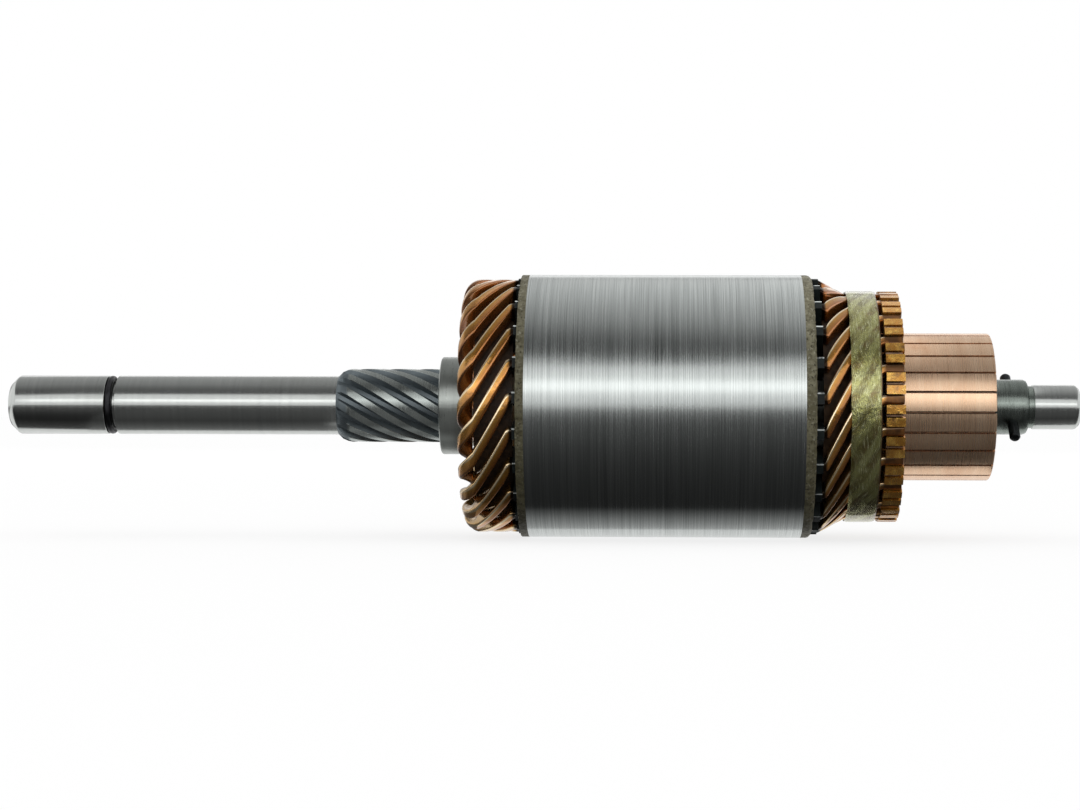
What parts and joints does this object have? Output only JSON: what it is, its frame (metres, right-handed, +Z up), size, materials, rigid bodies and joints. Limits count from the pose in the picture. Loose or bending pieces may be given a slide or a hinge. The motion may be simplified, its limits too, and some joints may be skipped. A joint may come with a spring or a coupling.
{
  "type": "motor armature",
  "caption": "Starter motor armature: slotted steel core with a copper hairpin winding, copper commutator, and a long shaft with a helical spline and collar.",
  "frame": {"origin": "middle of the lamination stack, on the shaft axis", "axes": "+X along the shaft from the drive end to the commutator end, -Y towards the viewer, +Z up"},
  "size_m": [0.3181, 0.078, 0.078],
  "materials": {
    "ground_steel": "ground and turned steel, satin",
    "black_spring_steel": "blackened spring wire",
    "black_oxide_pin": "black oxide, satin",
    "core_steel": "fine turned laminations, satin",
    "fibre": "vulcanised fibre board, matt and mottled",
    "insulation_paper": "dark slot paper with pale cut edges",
    "varnished_paper": "paper soaked in dark varnish",
    "glass_banding": "resin-filled glass band, semi-gloss",
    "moulding": "dark phenolic moulding",
    "mica": "dark mica sheet",
    "enamelled_copper": "copper bar under amber enamel, glossy",
    "commutator_copper": "fine turned copper"
  },
  "bodies": {
    "root": {"shaft": "ground_steel", "stop_ring": "black_spring_steel", "cross_pin": "black_oxide_pin", "lamination_stack": "core_steel", "drive_end_disc": "fibre", "commutator_end_disc": "fibre", "slot_liners": "insulation_paper", "drive_end_layer_insulation": "varnished_paper", "commutator_end_layer_insulation": "varnished_paper", "coil_banding": "glass_banding", "commutator_hub": "moulding", "mica_separators": "mica", "hairpin_01": "enamelled_copper", "hairpin_02": "enamelled_copper", "hairpin_03": "enamelled_copper", "hairpin_04": "enamelled_copper", "hairpin_05": "enamelled_copper", "hairpin_06": "enamelled_copper", "hairpin_07": "enamelled_copper", "hairpin_08": "enamelled_copper", "hairpin_09": "enamelled_copper", "hairpin_10": "enamelled_copper", "hairpin_11": "enamelled_copper", "hairpin_12": "enamelled_copper", "hairpin_13": "enamelled_copper", "hairpin_14": "enamelled_copper", "hairpin_15": "enamelled_copper", "hairpin_16": "enamelled_copper", "hairpin_17": "enamelled_copper", "hairpin_18": "enamelled_copper", "hairpin_19": "enamelled_copper", "hairpin_20": "enamelled_copper", "hairpin_21": "enamelled_copper", "hairpin_22": "enamelled_copper", "hairpin_23": "enamelled_copper", "commutator_segment_01": "commutator_copper", "commutator_segment_02": "commutator_copper", "commutator_segment_03": "commutator_copper", "commutator_segment_04": "commutator_copper", "commutator_segment_05": "commutator_copper", "commutator_segment_06": "commutator_copper", "commutator_segment_07": "commutator_copper", "commutator_segment_08": "commutator_copper", "commutator_segment_09": "commutator_copper", "commutator_segment_10": "commutator_copper", "commutator_segment_11": "commutator_copper", "commutator_segment_12": "commutator_copper", "commutator_segment_13": "commutator_copper", "commutator_segment_14": "commutator_copper", "commutator_segment_15": "commutator_copper", "commutator_segment_16": "commutator_copper", "commutator_segment_17": "commutator_copper", "commutator_segment_18": "commutator_copper", "commutator_segment_19": "commutator_copper", "commutator_segment_20": "commutator_copper", "commutator_segment_21": "commutator_copper", "commutator_segment_22": "commutator_copper", "commutator_segment_23": "commutator_copper"}
  },
  "joints": []
}
